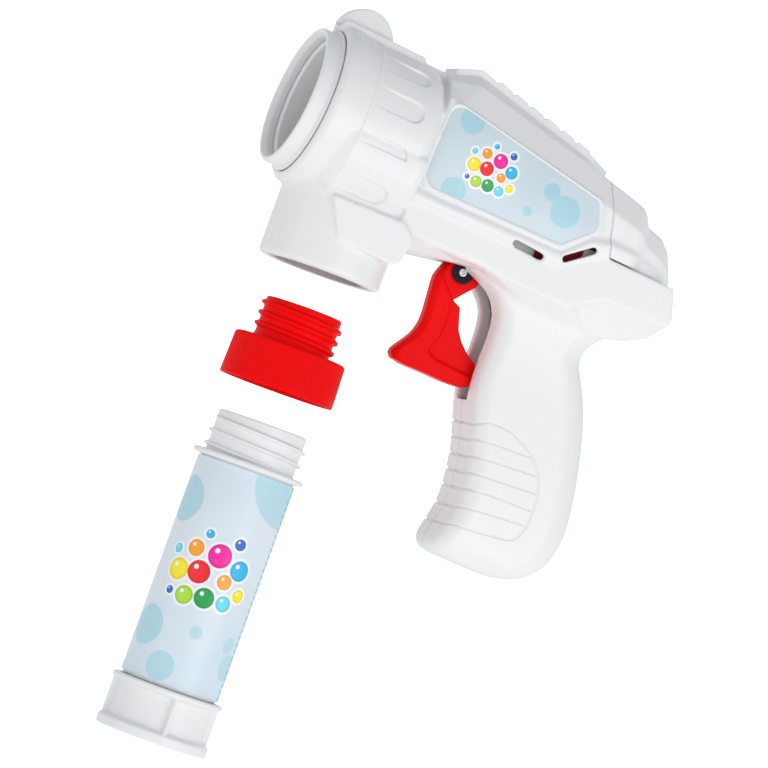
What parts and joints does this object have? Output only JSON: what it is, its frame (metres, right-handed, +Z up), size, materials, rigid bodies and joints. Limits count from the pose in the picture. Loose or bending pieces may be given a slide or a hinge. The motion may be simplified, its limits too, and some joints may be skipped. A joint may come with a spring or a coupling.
{
  "type": "bubble machine",
  "caption": "Hand-held toy bubble blower with a pistol grip, round nozzle and trigger, a screw-in adapter and a tube of bubble solution standing apart below its socket.",
  "frame": {"origin": "centre of the hand grip, on the mid-plane between the two housing halves", "axes": "+Z up, -Y along the barrel towards the nozzle, +X towards the left side of the gun"},
  "size_m": [0.057, 0.1478, 0.2536],
  "materials": {
    "white_abs": "satin gloss, light grain",
    "red_abs": "gloss",
    "grey_nylon": "satin",
    "steel": "plain zinc",
    "pinion_brass": "machined",
    "motor_case": "plated",
    "cell_case": "printed sleeve",
    "soft_tube": "clear, soft",
    "seal_rubber": "matt",
    "printed_film": "printed film"
  },
  "bodies": {
    "gun": {"left_shell": "white_abs", "right_shell": "white_abs", "rear_cover": "white_abs", "spine_strip": "white_abs", "top_fin": "white_abs", "nozzle_ring": "white_abs", "bubble_plate": "grey_nylon", "air_duct": "white_abs", "fan_housing": "red_abs", "gearbox_frame": "grey_nylon", "motor_can": "motor_case", "motor_cradle": "white_abs", "pump_housing": "grey_nylon", "pump_tube": "soft_tube", "feed_tube": "soft_tube", "delivery_tube": "soft_tube", "suction_nipple": "white_abs", "socket_insert": "white_abs", "socket_seal": "seal_rubber", "lay_pin": "steel", "trigger_bush": "grey_nylon", "pivot_screw": "white_abs", "trigger_spring": "steel", "switch_body": "grey_nylon", "battery_front": "cell_case", "battery_rear": "cell_case", "contact_plate_top": "steel", "contact_plate_bottom": "steel", "housing_screw_1": "steel", "housing_screw_2": "steel", "housing_screw_3": "steel", "housing_screw_4": "steel", "housing_screw_5": "steel", "decal_left": "printed_film", "decal_right": "printed_film"},
    "motor_rotor": {"motor_shaft": "steel", "motor_pinion": "pinion_brass", "impeller": "white_abs"},
    "lay": {"lay_gear": "white_abs"},
    "output": {"output_shaft": "steel", "output_gear": "red_abs", "film_wiper": "red_abs", "pump_rotor": "red_abs"},
    "trigger": {"trigger": "red_abs"},
    "switch": {"switch_lever": "steel"},
    "door": {"battery_door": "white_abs"},
    "adapter": {"adapter": "red_abs", "adapter_seal": "seal_rubber"},
    "bottle": {"bottle_tube": "white_abs", "bottle_label": "printed_film", "bottle_stand": "white_abs", "neck_plug": "white_abs", "dip_tube": "soft_tube"}
  },
  "joints": [
    {"name": "motor_spin", "type": "hinge", "parent": "gun", "child": "motor_rotor", "pos_m": [0, -0.043, 0.085], "axis": [0, 1, 0], "continuous": true},
    {"name": "lay_spin", "type": "hinge", "parent": "gun", "child": "lay", "pos_m": [0, -0.061, 0.0945], "axis": [0, 1, 0], "continuous": true},
    {"name": "output_spin", "type": "hinge", "parent": "gun", "child": "output", "pos_m": [0, -0.093, 0.085], "axis": [0, 1, 0], "continuous": true},
    {"name": "trigger_pull", "type": "hinge", "parent": "gun", "child": "trigger", "pos_m": [0, -0.0446, 0.0539], "axis": [1, 0, 0], "range_deg": [0, 9], "stiffness_Nm_per_rad": 0.05, "springref_deg": -11.46},
    {"name": "switch_press", "type": "hinge", "parent": "gun", "child": "switch", "pos_m": [0, -0.0174, 0.039], "axis": [1, 0, 0], "range_deg": [0, 20]},
    {"name": "door_lift", "type": "slide", "parent": "gun", "child": "door", "axis": [-1, 0, 0], "range_m": [0, 0.02]},
    {"name": "adapter_slide", "type": "slide", "parent": "gun", "child": "adapter", "axis": [0, -0.061, 0.9981], "range_m": [0, 0.0264]},
    {"name": "bottle_slide", "type": "slide", "parent": "adapter", "child": "bottle", "axis": [0, -0.061, 0.9981], "range_m": [0, 0.0236]}
  ],
  "couplings": [
    {"joint": "lay_spin", "follows": "motor_spin", "ratio": -0.38461},
    {"joint": "output_spin", "follows": "motor_spin", "ratio": 0.14793},
    {"joint": "switch_press", "follows": "trigger_pull", "ratio": 2.2}
  ]
}
